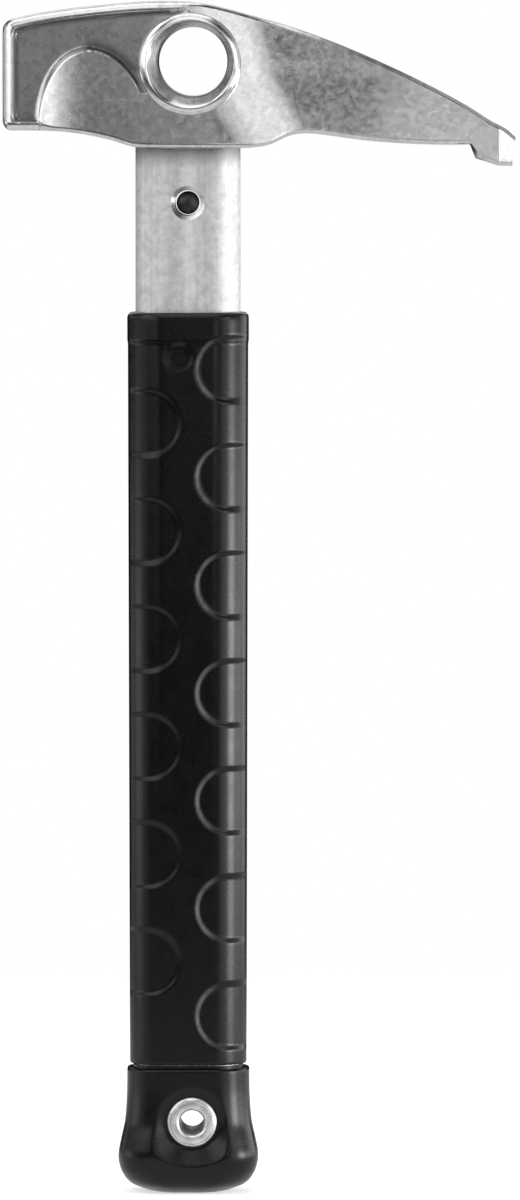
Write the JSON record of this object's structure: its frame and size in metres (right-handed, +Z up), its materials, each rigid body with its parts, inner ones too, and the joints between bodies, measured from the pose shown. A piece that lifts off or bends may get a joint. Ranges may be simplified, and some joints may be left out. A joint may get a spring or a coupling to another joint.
{
  "type": "piton hammer",
  "caption": "Climbing piton hammer with a square poll, a tapered hooked pick, a ringed carabiner hole, a rounded alloy shaft, a rubber grip and a pommel with a lanyard eyelet.",
  "frame": {"origin": "centre of the pommel's flat base", "axes": "+Z up along the shaft to the head, +X the way the pick points, +Y across the flanks, away from the side that is pictured"},
  "size_m": [0.1287, 0.0268, 0.3002],
  "materials": {
    "forged_steel": "satin, shot blasted forging",
    "tube_aluminium": "fine brushed, clear anodised",
    "pin_steel": "dark plain steel",
    "grip_rubber": "smooth black, semi gloss",
    "pommel_rubber": "smooth black, semi gloss",
    "plug_plastic": "moulded, matte",
    "eyelet_steel": "bright plated"
  },
  "bodies": {
    "root": {"head": "forged_steel", "shaft_tube": "tube_aluminium", "head_pin": "pin_steel", "grip_sleeve": "grip_rubber", "pommel_cap": "pommel_rubber", "tube_plug": "plug_plastic", "eyelet_barrel": "eyelet_steel", "eyelet_washer": "eyelet_steel"}
  },
  "joints": []
}
